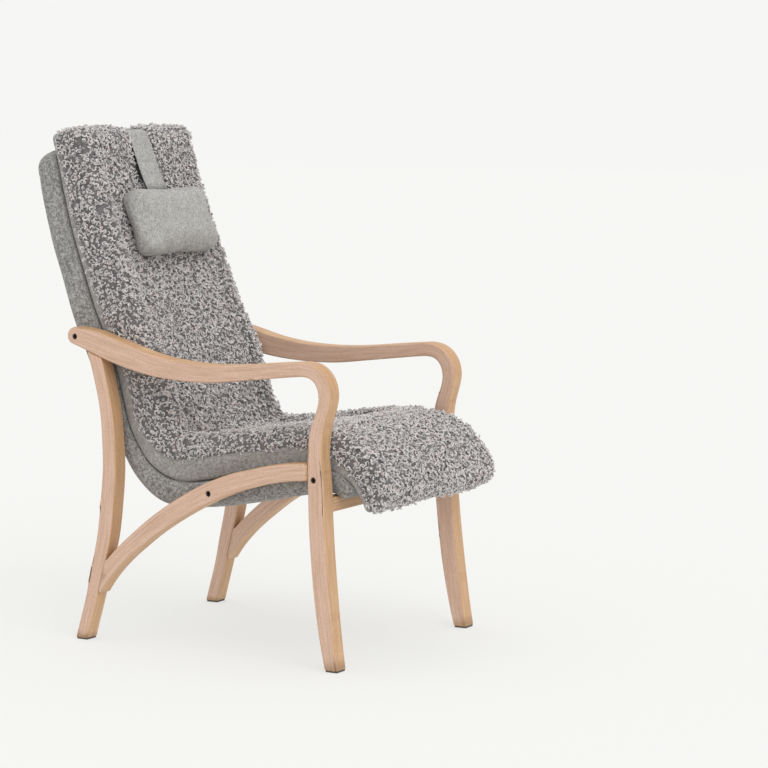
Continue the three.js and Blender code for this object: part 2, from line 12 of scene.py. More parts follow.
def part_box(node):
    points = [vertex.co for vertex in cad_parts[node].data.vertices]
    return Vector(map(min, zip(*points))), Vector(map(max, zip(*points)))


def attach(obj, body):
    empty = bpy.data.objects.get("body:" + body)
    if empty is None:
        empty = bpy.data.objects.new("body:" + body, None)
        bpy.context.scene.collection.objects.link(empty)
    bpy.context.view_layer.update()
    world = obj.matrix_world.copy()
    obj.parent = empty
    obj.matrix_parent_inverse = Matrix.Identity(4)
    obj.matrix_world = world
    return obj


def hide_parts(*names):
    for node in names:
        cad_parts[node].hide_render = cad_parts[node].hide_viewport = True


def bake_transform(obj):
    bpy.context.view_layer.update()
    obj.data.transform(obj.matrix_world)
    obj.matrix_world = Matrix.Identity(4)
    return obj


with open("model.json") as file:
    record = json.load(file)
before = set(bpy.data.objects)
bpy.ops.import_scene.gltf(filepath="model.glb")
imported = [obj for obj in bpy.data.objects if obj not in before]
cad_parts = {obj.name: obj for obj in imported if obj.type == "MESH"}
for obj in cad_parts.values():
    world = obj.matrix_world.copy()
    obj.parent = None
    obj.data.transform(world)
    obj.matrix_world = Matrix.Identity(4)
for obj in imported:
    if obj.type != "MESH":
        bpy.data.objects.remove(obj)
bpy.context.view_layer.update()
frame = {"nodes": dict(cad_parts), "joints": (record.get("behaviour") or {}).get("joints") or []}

scene = bpy.context.scene
nodes = frame["nodes"]
mm = 0.001

# Camera
camera = {
    "place": (-4.8651, -3.1577, 1.1583),
    "yaw": 59.569,  # degrees from +Y towards +X
    "pitch": -6.15,
    "lens": 128.69,
}
cameraObject = bpy.data.objects.new("camera", bpy.data.cameras.new("camera"))
scene.collection.objects.link(cameraObject)
cameraObject.data.sensor_width = 36
cameraObject.data.lens = camera["lens"]
cameraObject.data.clip_end = 60
cameraObject.location = camera["place"]
cameraObject.rotation_euler = (math.radians(90 + camera["pitch"]), 0, math.radians(-camera["yaw"]))
scene.camera = cameraObject
scene.view_settings.view_transform = "Standard"


# Materials
def linear(code):
    # an sRGB hex code as the linear colour that a shader wants
    values = [int(code[i:i + 2], 16) / 255 for i in (1, 3, 5)]
    return tuple(v / 12.92 if v <= 0.04045 else ((v + 0.055) / 1.055) ** 2.4 for v in values) + (1,)


def addNode(tree, kind, settings=None, **links):
    # a node with its settings, and links as socket=(node, its output); stops are a colour ramp's places
    # with their colours
    node = tree.nodes.new(kind)
    for key, value in (settings or {}).items():
        if key == "stops":
            elements = node.color_ramp.elements
            while len(elements) < len(value):
                elements.new(0.5)
            for element, (place, colour) in zip(elements, value):
                element.position = place
                element.color = linear(colour)
        elif key in node.inputs:
            node.inputs[key].default_value = value
        else:
            setattr(node, key, value)
    for socket, (other, output) in links.items():
        tree.links.new(other.outputs[output], node.inputs[socket])
    return node


def newMaterial(name, **sockets):
    material = bpy.data.materials.new(name)
    material.use_nodes = True
    shader = material.node_tree.nodes["Principled BSDF"]
    for socket, value in sockets.items():
        shader.inputs[socket.replace("_", " ")].default_value = value
    return material, material.node_tree, shader


def whiteOiledBeech():
    # Bent beech veneers, sanded and white-oiled: pale and pinkish on the veneer edges, browner on the
    # faces, with long soft streaks, short darker flecks and a low satin shine.
    wood = {
        "edge": ("#C3A08A", "#D1B09B", "#DBBEAB"),
        "face": ("#B8916B", "#CAA37C", "#D5B390"),
        "tone": (0.3, 0.5, 0.72),  # where in the streaks the three colours lie
        "streak": (110, 3.6),  # length and width in mm
        "fleck": (5, 0.8),  # drawn about twice as coarse as real so that it shows
        "veneer": 3.2,  # mm, drawn twice as thick as real
        "bandLength": 314,  # mm between the wave's bands at a scale of 1
    }
    material, tree, shader = newMaterial("whiteOiledBeech", Roughness=0.5, IOR=1.5)
    grain = addNode(tree, "ShaderNodeAttribute", {"attribute_name": "grain"})
    noises = []
    for (length, width), settings in ((wood["streak"], {"Detail": 4, "Roughness": 0.6}),
                                      (wood["fleck"], {"Detail": 1})):
        scaled = addNode(tree, "ShaderNodeMapping", {"Scale": (1000 / length, 1000 / width, 1000 / width)},
                         Vector=(grain, "Vector"))
        noises.append(addNode(tree, "ShaderNodeTexNoise", {"Scale": 1, **settings},
                              Vector=(scaled, "Vector")))
    streaks, flecks = noises
    lines = addNode(tree, "ShaderNodeTexWave", {
        "bands_direction": "Y", "Scale": wood["bandLength"] / wood["veneer"], "Distortion": 0.6, "Detail": 2,
        "Detail Scale": 0.05}, Vector=(grain, "Vector"))
    edgeColour, faceColour = [
        addNode(tree, "ShaderNodeValToRGB", {"stops": list(zip(wood["tone"], wood[side]))},
                Fac=(streaks, "Fac"))
        for side in ("edge", "face")]
    place = addNode(tree, "ShaderNodeTexCoord")
    parts = addNode(tree, "ShaderNodeSeparateXYZ", Vector=(place, "Normal"))
    sideways = addNode(tree, "ShaderNodeMath", {"operation": "ABSOLUTE"}, Value=(parts, "X"))
    onEdge = addNode(tree, "ShaderNodeMapRange", {"From Min": 0.5, "From Max": 0.95},
                     Value=(sideways, "Value"))
    both = addNode(tree, "ShaderNodeMixRGB", Fac=(onEdge, "Result"), Color1=(faceColour, "Color"),
                   Color2=(edgeColour, "Color"))
    lineColour = addNode(tree, "ShaderNodeValToRGB", {
        "stops": [(0.0, "#FBF8F5"), (0.86, "#FFFFFF"), (1.0, "#F2E9E2")]}, Fac=(lines, "Fac"))
    lined = addNode(tree, "ShaderNodeMixRGB", {"blend_type": "MULTIPLY", "Fac": 0.6},
                    Color1=(both, "Color"), Color2=(lineColour, "Color"))
    fleckColour = addNode(tree, "ShaderNodeValToRGB", {"stops": [(0.34, "#D9BFA8"), (0.44, "#FFFFFF")]},
                          Fac=(flecks, "Fac"))
    colour = addNode(tree, "ShaderNodeMixRGB", {"blend_type": "MULTIPLY", "Fac": 0.5},
                     Color1=(lined, "Color"), Color2=(fleckColour, "Color"))
    rough = addNode(tree, "ShaderNodeMapRange", {"To Min": 0.42, "To Max": 0.6}, Value=(streaks, "Fac"))
    bump = addNode(tree, "ShaderNodeBump", {"Strength": 0.12, "Distance": 0.0004}, Height=(flecks, "Fac"))
    tree.links.new(colour.outputs["Color"], shader.inputs["Base Color"])
    tree.links.new(rough.outputs["Result"], shader.inputs["Roughness"])
    tree.links.new(bump.outputs["Normal"], shader.inputs["Normal"])
    return material


def woolFelt(name, colours, ownPlace=False):
    # Fulled wool cloth in a grey melange: light and dark yarns beside each other, matt, with a short fuzz
    # that brightens its outline.
    felt = {
        "yarn": (1.3, 6.5), "cross": (5.5, 1.5),  # mm: width and length of the two ways of the cloth
        "cloud": 18, "nap": 1.1,  # mm
        "tone": (0.34, 0.5, 0.66),
    }
    material, tree, shader = newMaterial(name, Roughness=0.95, Sheen_Weight=0.15, Sheen_Roughness=0.5,
                                         Specular_IOR_Level=0.2)
    if ownPlace:  # the strap's pieces carry their place at rest
        place = (addNode(tree, "ShaderNodeAttribute", {"attribute_name": "lie"}), "Vector")
    else:
        place = (addNode(tree, "ShaderNodeTexCoord"), "Object")
    yarns = []
    for across, along in (felt["yarn"], felt["cross"]):
        scaled = addNode(tree, "ShaderNodeMapping", {
            "Scale": (1000 / across, 1000 / along, 1000 / along), "Rotation": (0, 0, 0.08)}, Vector=place)
        yarns.append(addNode(tree, "ShaderNodeTexNoise", {
            "Scale": 1, "Detail": 3, "Roughness": 0.6, "Distortion": 0.5}, Vector=(scaled, "Vector")))
    woven = addNode(tree, "ShaderNodeMath", {"operation": "ADD"}, Value=(yarns[0], "Fac"))
    tree.links.new(yarns[1].outputs["Fac"], woven.inputs[1])
    mixed = addNode(tree, "ShaderNodeMapRange", {"From Min": 0.6, "From Max": 1.4}, Value=(woven, "Value"))
    clouds = addNode(tree, "ShaderNodeTexNoise", {
        "Scale": 1000 / felt["cloud"], "Detail": 4, "Roughness": 0.7}, Vector=place)
    stops = {"stops": list(zip(felt["tone"], colours))}
    yarnColour = addNode(tree, "ShaderNodeValToRGB", stops, Fac=(mixed, "Result"))
    cloudColour = addNode(tree, "ShaderNodeValToRGB", stops, Fac=(clouds, "Fac"))
    colour = addNode(tree, "ShaderNodeMixRGB", {"Fac": 0.22}, Color1=(yarnColour, "Color"),
                     Color2=(cloudColour, "Color"))
    nap = addNode(tree, "ShaderNodeTexNoise", {"Scale": 1000 / felt["nap"], "Detail": 2}, Vector=place)
    bump = addNode(tree, "ShaderNodeBump", {"Strength": 0.5, "Distance": 0.0008}, Height=(nap, "Fac"))
    tree.links.new(colour.outputs["Color"], shader.inputs["Base Color"])
    tree.links.new(bump.outputs["Normal"], shader.inputs["Normal"])
    return material


def curlyShearling():
    # Grey curly lambskin: locks of soft wool, paler and slightly warm at the tips. Painted shade: the skin
    # between the locks is painted dark, and each lock is darker towards its root.
    wool = {
        # from the skin to a lock's tip: the dark end is painted shade in the gaps between the locks and at
        # their roots
        "locks": [(0.0, "#625F60"), (0.3, "#A29F9F"), (0.62, "#CFCCCB"), (1.0, "#EBE7E5")],
        "tints": [(0.38, "#DCDADB"), (0.55, "#FFFFFF"), (0.68, "#F3E6E6")],
        "patch": 16, "strand": 0.7,  # mm
    }
    material, tree, shader = newMaterial("curlyShearling", Roughness=0.9, Sheen_Weight=0.3,
                                         Sheen_Roughness=0.6, Specular_IOR_Level=0.15)
    place = addNode(tree, "ShaderNodeTexCoord")
    lock = addNode(tree, "ShaderNodeAttribute", {"attribute_name": "lock"})
    patches = addNode(tree, "ShaderNodeTexNoise", {"Scale": 1000 / wool["patch"], "Detail": 3},
                      Vector=(place, "Object"))
    height = addNode(tree, "ShaderNodeValToRGB", {"stops": wool["locks"]}, Fac=(lock, "Fac"))
    tint = addNode(tree, "ShaderNodeValToRGB", {"stops": wool["tints"]}, Fac=(patches, "Fac"))
    colour = addNode(tree, "ShaderNodeMixRGB", {"blend_type": "MULTIPLY", "Fac": 1},
                     Color1=(height, "Color"), Color2=(tint, "Color"))
    strands = addNode(tree, "ShaderNodeTexNoise", {"Scale": 1000 / wool["strand"], "Detail": 2},
                      Vector=(place, "Object"))
    bump = addNode(tree, "ShaderNodeBump", {"Strength": 0.6, "Distance": 0.0008}, Height=(strands, "Fac"))
    tree.links.new(colour.outputs["Color"], shader.inputs["Base Color"])
    tree.links.new(bump.outputs["Normal"], shader.inputs["Normal"])
    return material


def speckled(name, dark, light, grit, depth=0.1, **sockets):
    # a plain finish with a fine uneven tone and surface; grit is its size in mm
    material, tree, shader = newMaterial(name, **sockets)
    place = addNode(tree, "ShaderNodeTexCoord")
    noise = addNode(tree, "ShaderNodeTexNoise", {"Scale": 1000 / grit, "Detail": 3},
                    Vector=(place, "Object"))
    colour = addNode(tree, "ShaderNodeValToRGB", {"stops": [(0.35, dark), (0.65, light)]},
                     Fac=(noise, "Fac"))
    bump = addNode(tree, "ShaderNodeBump", {"Strength": 0.3, "Distance": depth * mm},
                   Height=(noise, "Fac"))
    tree.links.new(colour.outputs["Color"], shader.inputs["Base Color"])
    tree.links.new(bump.outputs["Normal"], shader.inputs["Normal"])
    return material


beech = whiteOiledBeech()
shellFelt = woolFelt("shellFelt", ("#625F5E", "#8C8A88", "#B2B0AD"))
padFelt = woolFelt("padFelt", ("#7F7C7A", "#979492", "#B0ADAA"))
pillowFelt = woolFelt("pillowFelt", ("#868482", "#A3A19E", "#BFBDBA"))
strapFelt = woolFelt("strapFelt", ("#868482", "#A3A19E", "#BFBDBA"), ownPlace=True)
shearling = curlyShearling()
# Zinc-plated steel blacked by oil: dark, with a dull metal shine.
blackedSteel = speckled("blackedSteel", "#2A292A", "#3C3B3B", 1.5, Metallic=1.0, Roughness=0.42)
# Turned brass inserts: yellow metal with fine tool marks.
turnedBrass = speckled("turnedBrass", "#A88B4B", "#C2A661", 0.8, Metallic=1.0, Roughness=0.35)
# Pressed wool glides: grey-brown, matt and fibrous.
pressedWool = speckled("pressedWool", "#4A4744", "#67635F", 1.2, depth=0.4, Roughness=0.95)
# Birch plywood, sawn and unfinished: pale yellow, matt.
birchPly = speckled("birchPly", "#C9AA7E", "#DCC298", 3, Roughness=0.7)
# Rubbered elastic webbing: black-brown with a fine weave.
elasticWebbing = speckled("elasticWebbing", "#2D2C2D", "#454345", 1.0, depth=0.3, Roughness=0.85)
# Nylon coil zip: near black, slightly glossy.
nylonCoil = speckled("nylonCoil", "#202021", "#313133", 0.9, depth=0.3, Roughness=0.5)
print("materials made")


# Lines that the pieces follow, in side view
# forward runs from the heel of the rear foot to the front, up from the floor, both in mm
boltBehindHeel = 6  # the arm bolt's middle
heel = sum(corner.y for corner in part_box("arm_bolt_left")) / 2 - boltBehindHeel * mm


def smoothRows(rows, steps=12):
    # a centripetal Catmull-Rom line through the rows, every column with it
    rows = np.array(rows, float)
    rows = np.vstack([2 * rows[0] - rows[1], rows, 2 * rows[-1] - rows[-2]])
    spans = np.sqrt(np.linalg.norm(np.diff(rows[:, :2], axis=0), axis=1))
    out = []
    for i in range(1, len(rows) - 2):
        k = np.cumsum([0, *spans[i - 1:i + 2]])
        t = np.linspace(k[1], k[2], steps, endpoint=False)[:, None]
        a = [((k[j + 1] - t) * rows[i - 1 + j] + (t - k[j]) * rows[i + j]) / (k[j + 1] - k[j])
             for j in range(3)]
        b = [((k[j + 2] - t) * a[j] + (t - k[j]) * a[j + 1]) / (k[j + 2] - k[j]) for j in range(2)]
        out.append(((k[2] - t) * b[0] + (t - k[1]) * b[1]) / (k[2] - k[1]))
    return np.vstack([*out, rows[-2:-1]])


class BentLine:
    # at(distance) gives the point, the direction and the other columns there
    def __init__(self, rows):
        self.rows = smoothRows(rows)
        lengths = np.linalg.norm(np.diff(self.rows[:, :2], axis=0), axis=1)
        self.steps = np.concatenate([[0], np.cumsum(lengths)])
        self.length = self.steps[-1]
        self.slopes = np.gradient(self.rows[:, :2], self.steps, axis=0)

    def at(self, distance):
        values = [np.interp(distance, self.steps, column) for column in [*self.rows.T, *self.slopes.T]]
        slope = np.array(values[-2:]) / np.hypot(*values[-2:])
        return np.array(values[:2]), slope, values[2:-2]

    def nearest(self, forward, up):
        # distance along, offset from the line and depth at the nearest point
        away = self.rows[:, :2] - (forward, up)
        i = int((away ** 2).sum(1).argmin())
        point, slope = self.rows[i], self.slopes[i] / np.linalg.norm(self.slopes[i])
        ahead = (forward - point[0]) * slope[0] + (up - point[1]) * slope[1]
        off = -(forward - point[0]) * slope[1] + (up - point[1]) * slope[0]
        return self.steps[i] + ahead, off, point[2]


strips = {
    "arm": BentLine([
        (-8, 642, 36), (20, 636.5, 42.5), (54, 627.5, 47.5), (88, 617, 48.5), (141, 602.5, 48),
        (192, 591, 44.5), (256, 583, 40.5), (340, 580.5, 37), (419, 586.5, 32), (493, 594.5, 30.5),
        (548, 600, 29), (571, 601.5, 29), (591, 598, 29), (607, 587.5, 29), (618, 570.5, 29),
        (622, 550, 28.5), (620.5, 534, 27), (615, 514, 27), (608, 493, 29), (602, 465, 31.5),
        (600, 435, 32), (601, 406, 34), (603.5, 376, 37), (606.5, 306, 38), (612.5, 226, 38),
        (621, 147, 37), (632.5, 67, 33), (644.8, 0, 28), (648.5, -20, 27)]),
    "rearLeg": BentLine([
        (40, 622, 33), (46.5, 602, 32), (58, 564, 31), (69, 523, 31), (77.5, 482, 32), (83, 428, 33.5),
        (85.5, 365, 34.5), (81, 301, 35.5), (71.5, 222, 34.5), (53.5, 151, 30.5), (37.5, 86, 27.5),
        (21.5, 31, 27.5), (9.5, -12, 28)]),
    "brace": BentLine([
        (50, 112, 32), (67, 136, 32.5), (89, 162, 33.2), (122, 194, 34), (158, 224, 35.4),
        (194, 252, 36.8), (234, 279, 38.6), (274, 303, 39.8), (315, 325, 40.6), (356, 344, 40.4),
        (401, 361, 39.6), (446, 374, 38), (490, 385, 36.6), (536, 393, 35.4), (582, 397.5, 35),
        (600, 399, 35)]),
}
# columns after forward and up: the shell's depth below the line, the pad's above it, the band's height
seat = BentLine([
    (-97, 1064, 50, 86, 12), (-84.5, 995, 53, 91, 16), (-68, 923.5, 56, 96, 20),
    (-47.5, 850, 57, 100, 22), (-21.5, 777, 58, 102, 23), (9.5, 694, 60, 104, 25),
    (38, 632, 60, 104, 27), (64, 570, 58, 108, 28), (81.5, 507.5, 53, 112, 29), (97, 455.5, 46, 112, 32),
    (120.5, 413.5, 43, 108, 36), (154, 375, 47, 103, 40), (198, 351, 54, 99, 45),
    (249, 344.5, 51, 97, 48), (311, 353.5, 56, 94, 50), (420, 377.5, 61, 85, 46), (531, 400, 60, 78, 42),
    (590, 402, 52, 75, 34), (634, 388, 42, 75, 20), (664, 363, 35, 71, 14), (682, 335, 14, 66, 10),
    (689.5, 316, 12, 58, 8)])
seatWidth = {"half": 204.1, "perForward": 0.0373}  # half the width at the heel, and how it widens


def meshPiece(name, bm, material, smooth=True):
    mesh = bpy.data.meshes.new(name)
    bm.to_mesh(mesh)
    bm.free()
    piece = bpy.data.objects.new(name, mesh)
    scene.collection.objects.link(piece)
    for one in material if isinstance(material, (list, tuple)) else [material]:
        mesh.materials.append(one)
    if smooth:
        mesh.shade_smooth()
    return piece


def vectorAttribute(piece, name, values):
    attribute = piece.data.attributes.new(name, "FLOAT_VECTOR", "POINT")
    attribute.data.foreach_set("vector", np.array(values, np.float32).ravel())


# Wood
timber = {
    "weld": 0.02, "flat": 0.4,  # mm and degrees: what counts as one point and as one plane
    "roundOver": 3.6, "segments": 3,
    "sharp": 0.8,  # radians between two faces that meet in an edge to round
    "endUp": 6, "cutMargin": 2,  # mm: no rounding this near the foot's end or another strip
    "grainShift": 3.7,  # metres along the grain from one strip to the next
    "cell": 34,  # mm of length between the cross lines that keep the grain true round the bends
    "boltClear": 11,  # no rounding this near a bolt's middle
    "bolts": ((-6, 640.5), (341.5, 335.5), (598.5, 382.5)),
}


def strip(node, lineName, cutBy, number):
    line = strips[lineName]
    bm = bmesh.new()
    bm.from_mesh(nodes[node].data)
    bmesh.ops.remove_doubles(bm, verts=bm.verts, dist=timber["weld"] * mm)
    bmesh.ops.dissolve_limit(bm, verts=bm.verts, edges=bm.edges, angle_limit=math.radians(timber["flat"]))
    for distance in np.arange(timber["cell"], line.length, timber["cell"]):
        (forward, up), slope, _ = line.at(distance)
        near = [face for face in bm.faces if any(
            abs(line.nearest((heel - v.co.y) / mm, v.co.z / mm)[0] - distance) < 2 * timber["cell"]
            for v in face.verts)]
        around = {e for face in near for e in face.edges} | {v for face in near for v in face.verts}
        bmesh.ops.bisect_plane(bm, geom=near + list(around), dist=1e-6,
                               plane_co=(0, heel - forward * mm, up * mm), plane_no=(0, -slope[0], slope[1]))
    bm.normal_update()

    def sideView(point):
        return (heel - point.y) / mm, point.z / mm

    def endCut(face):
        forward, up = sideView(face.calc_center_median())
        if up < timber["endUp"]:
            return True
        for other in cutBy:
            _, off, depth = strips[other].nearest(forward, up)
            if abs(off) < depth / 2 + timber["cutMargin"]:
                return True
        return any(math.hypot(forward - x, up - y) < timber["boltClear"] for x, y in timber["bolts"])

    along = [edge for edge in bm.edges if len(edge.link_faces) == 2
             and abs(edge.link_faces[0].normal.x) + abs(edge.link_faces[1].normal.x) > 0.8
             and edge.calc_face_angle() > timber["sharp"]
             and not any(endCut(f) for f in edge.link_faces if abs(f.normal.x) < 0.6)]
    bmesh.ops.bevel(bm, geom=along, offset=timber["roundOver"] * mm, segments=timber["segments"],
                    profile=0.5, affect="EDGES", material=-1, clamp_overlap=False)
    places = []
    for vert in bm.verts:
        distance, off, _ = line.nearest(*sideView(vert.co))
        places.append((distance * mm + timber["grainShift"] * number, off * mm, vert.co.x))
    piece = meshPiece(node.replace("front_leg_arm", "armAndFrontLeg").replace("rear_leg", "rearLeg")
                      .replace("side_brace", "sideBrace"), bm, beech)
    vectorAttribute(piece, "grain", places)
    piece.modifiers.new("evenShading", "WEIGHTED_NORMAL").keep_sharp = False
    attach(piece, "root")
    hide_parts(node)


for number, side in enumerate(("left", "right")):
    strip(f"front_leg_arm_{side}", "arm", (), number)
    strip(f"rear_leg_{side}", "rearLeg", ("arm",), number + 2)
    strip(f"side_brace_{side}", "brace", ("arm", "rearLeg"), number + 4)


rail = {"roundOver": 3, "segments": 3, "shortest": 0.3, "grainShift": 31}


def crossRail():
    bm = bmesh.new()
    bm.from_mesh(nodes["front_cross_rail"].data)
    bmesh.ops.remove_doubles(bm, verts=bm.verts, dist=timber["weld"] * mm)
    bmesh.ops.dissolve_limit(bm, verts=bm.verts, edges=bm.edges, angle_limit=math.radians(timber["flat"]))
    bm.normal_update()
    along = [edge for edge in bm.edges if all(abs(f.normal.x) < 0.5 for f in edge.link_faces)
             and edge.calc_length() > rail["shortest"]]
    bmesh.ops.bevel(bm, geom=along, offset=rail["roundOver"] * mm, segments=rail["segments"], profile=0.5,
                    affect="EDGES", material=-1)
    places = [(vert.co.x + rail["grainShift"], vert.co.z, vert.co.y) for vert in bm.verts]
    piece = meshPiece("crossRail", bm, beech)
    vectorAttribute(piece, "grain", places)
    piece.modifiers.new("evenShading", "WEIGHTED_NORMAL")
    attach(piece, "root")
    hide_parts("front_cross_rail")


crossRail()
print("wood made")


# Soft pieces swept along the seat line
def cornerLoss(distance, radius):
    # what a rounded corner takes off at a distance from the end
    short = radius - min(max(distance, 0), radius)
    return radius - math.sqrt(radius ** 2 - short ** 2)


def smoothstep(low, high, value):
    t = min(max((value - low) / (high - low), 0), 1)
    return t * t * (3 - 2 * t)


def growRing(bm, ring):
    # extrudes a closed ring of points and gives the new ring in the same order
    edges = [bm.edges.get((a, b)) for a, b in zip(ring, ring[1:] + ring[:1])]
    grown = bmesh.ops.extrude_edge_only(bm, edges=edges)["geom"]
    new = set(g for g in grown if isinstance(g, bmesh.types.BMVert))
    partner = {e.other_vert(v): v for v in new for e in v.link_edges if e.other_vert(v) not in new}
    return [partner[v] for v in ring]


def sweep(name, material, stations, ringAt, capSteps=3, seam=0):
    # Rings of (x, height over the line) at distances along the seat line, each grown from the last one,
    # closed at both ends. Every point carries its lie: x, distance along, height, in metres.
    # seam is the number in the ring of a point whose level, across the ends, splits the piece in two.
    bm = bmesh.new()
    lieLayer = bm.verts.layers.float_vector.new("lie")
    ringLayer, stationLayer = bm.verts.layers.int.new("ring"), bm.verts.layers.int.new("station")

    def setRing(verts, number, distance, ring):
        (forward, up), slope, _ = seat.at(distance)
        for i, (vert, (x, h)) in enumerate(zip(verts, ring)):
            f, u = forward - slope[1] * h, up + slope[0] * h
            vert.co = (x * mm, heel - f * mm, u * mm)
            vert[lieLayer] = (x * mm, distance * mm, h * mm)
            vert[ringLayer], vert[stationLayer] = i, number

    first = ringAt(stations[0])
    verts = bmesh.ops.create_circle(bm, segments=len(first), radius=0.1)["verts"]
    setRing(verts, 0, stations[0], first)
    ends = [(list(verts), -1)]
    for number, distance in enumerate(stations[1:], 1):
        verts = growRing(bm, verts)
        setRing(verts, number, distance, ringAt(distance))
    ends.append((verts, 1))
    for ring, way in ends:  # the end faces, as rings that shrink to the middle
        if seam:
            middle = (ring[seam].co + ring[-seam].co) / 2
            middleLie = (ring[seam][lieLayer] + ring[-seam][lieLayer]) / 2
        else:
            middle = sum((v.co for v in ring), Vector()) / len(ring)
            middleLie = sum((v[lieLayer] for v in ring), Vector()) / len(ring)
        for step in range(capSteps):
            old, ring = ring, growRing(bm, ring)
            share = 1 / (capSteps + 1 - step)
            for i, (vert, outer) in enumerate(zip(ring, old)):
                vert.co = outer.co.lerp(middle, share)
                vert[lieLayer] = outer[lieLayer].lerp(middleLie, share)
                vert[ringLayer], vert[stationLayer] = i, outer[stationLayer] + way
        if seam:
            bmesh.ops.contextual_create(bm, geom=ring[seam:len(ring) - seam + 1])
            bmesh.ops.contextual_create(bm, geom=ring[-seam:] + ring[:seam + 1])
        else:
            bmesh.ops.contextual_create(bm, geom=ring)
    bmesh.ops.recalc_face_normals(bm, faces=bm.faces)
    return meshPiece(name, bm, material)


def arc(x, h, radius, start, end, steps):
    angles = np.radians(np.linspace(start, end, steps + 1))
    return [(x + radius * math.cos(a), h + radius * math.sin(a)) for a in angles]


def row(start, end, steps):
    # evenly spaced points, without the last
    return [(start[0] + (end[0] - start[0]) * i / steps, start[1] + (end[1] - start[1]) * i / steps)
            for i in range(steps)]


def bothSides(half):
    # a ring from its right half, which runs from the bottom's middle to the top's middle
    return half + [(-x, h) for x, h in half[-2:0:-1]]


def swell(piece, pressure, cap, frames=20):
    # Cloth under air pressure; no point moves further than the cap.
    before = np.array([v.co for v in piece.data.vertices])
    cloth = piece.modifiers.new("swell", "CLOTH")
    cloth.settings.use_pressure = True
    cloth.settings.uniform_pressure_force = pressure
    cloth.settings.effector_weights.gravity = 0
    cloth.settings.quality = 4
    cloth.collision_settings.use_collision = False
    cloth.point_cache.frame_start, cloth.point_cache.frame_end = 1, frames
    for number in range(1, frames + 1):
        scene.frame_set(number)
    shown = piece.evaluated_get(bpy.context.evaluated_depsgraph_get()).to_mesh()
    moved = np.array([v.co for v in shown.vertices]) - before
    piece.modifiers.remove(cloth)
    scene.frame_set(1)
    length = np.linalg.norm(moved, axis=1, keepdims=True)
    moved *= cap * mm * np.tanh(length / (cap * mm)) / np.maximum(length, 1e-9)
    piece.data.vertices.foreach_set("co", (before + moved).ravel())
    piece.data.update()


# Seat shell
shell = {
    "start": 34, "end": 1278, "corner": 38, "sideCorner": 26, "edge": 11, "underPad": 5,
    "backDip": 2.5,  # the felt is drawn tight between the rails
    "sideBulge": 1.6,
    "seamFromEdge": 5, "seamDepth": 1.3, "seamWidth": 2.4,
    "crossSeam": 777,
    "step": 9,
}


def shellHalf(distance):
    (forward, _), _, _ = seat.at(distance)
    half = seatWidth["half"] + seatWidth["perForward"] * forward
    return half - cornerLoss(distance - shell["start"], shell["sideCorner"])


def shellRing(distance):
    _, _, (depth, _, _) = seat.at(distance)
    low = -depth + cornerLoss(distance - shell["start"], shell["corner"])
    half = shellHalf(distance)
    if abs(distance - shell["crossSeam"]) < 0.1:
        low += shell["seamDepth"]
        half -= shell["seamDepth"]
    edge = min(shell["edge"], -low * 0.45)
    top = min(shell["underPad"], -low * 0.3)
    seam = shell["seamWidth"] * np.array([-1, -0.5, 0, 0.5, 1])
    heights = [*(low + edge + shell["seamFromEdge"] + seam), *np.linspace(low / 2 + 6, -top, 5)[:-1]]
    side = [(half, low + edge)]
    for number, h in enumerate(heights):
        share = (h - low - edge) / (-top - low - edge)
        side.append((half + shell["sideBulge"] * math.sin(math.pi * min(max(share, 0), 1))
                     - (shell["seamDepth"] if number == 2 else 0), h))
    dip = shell["backDip"] * smoothstep(0, 60, distance - shell["start"])
    bottom = [(x, h + dip * (1 - (x / half) ** 4)) for x, h in row((0, low), (half - edge, low), 22)]
    return bothSides(bottom + arc(half - edge, low + edge, edge, -90, 0, 5)[:-1] + side
                     + arc(half - top, -top, top, 0, 90, 3)[:-1] + row((half - top, 0), (0, 0), 14)
                     + [(0, 0)])


shellStations = sorted(set(
    [shell["start"] + shell["corner"] * (1 - math.cos(a)) for a in np.linspace(0, math.pi / 2, 8)]
    + list(np.arange(shell["start"] + shell["corner"] + 5, shell["end"], shell["step"]))
    + [shell["crossSeam"] + d for d in (-3, -1.2, 0, 1.2, 3)] + [shell["end"]]))
shellPiece = sweep("shellCover", shellFelt, shellStations, shellRing)
swell(shellPiece, 2, 1.5)
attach(shellPiece, "root")
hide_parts("shell_cover")
print("shell made")

# Pad
pad = {
    "clearance": 1.2, "corner": 22, "sideCorner": 14, "edge": 17, "bottomEdge": 9, "step": 6.4,
    "curlRoom": 4.2,  # the skin lies this far inside the outline, and the curls fill the rest
    "swell": 3.5,
    "sideBulge": -2,  # the fleece stands proud of the shell
    "hollow": {"depth": 12, "rise": (150, 172), "from": 20, "full": 140, "back": 1090, "gone": 1190},
    "seamPoint": 30,  # the ring's point at the top of the band
    "strapGroove": {"depth": 9, "half": 36, "soft": 9, "until": 160},
}


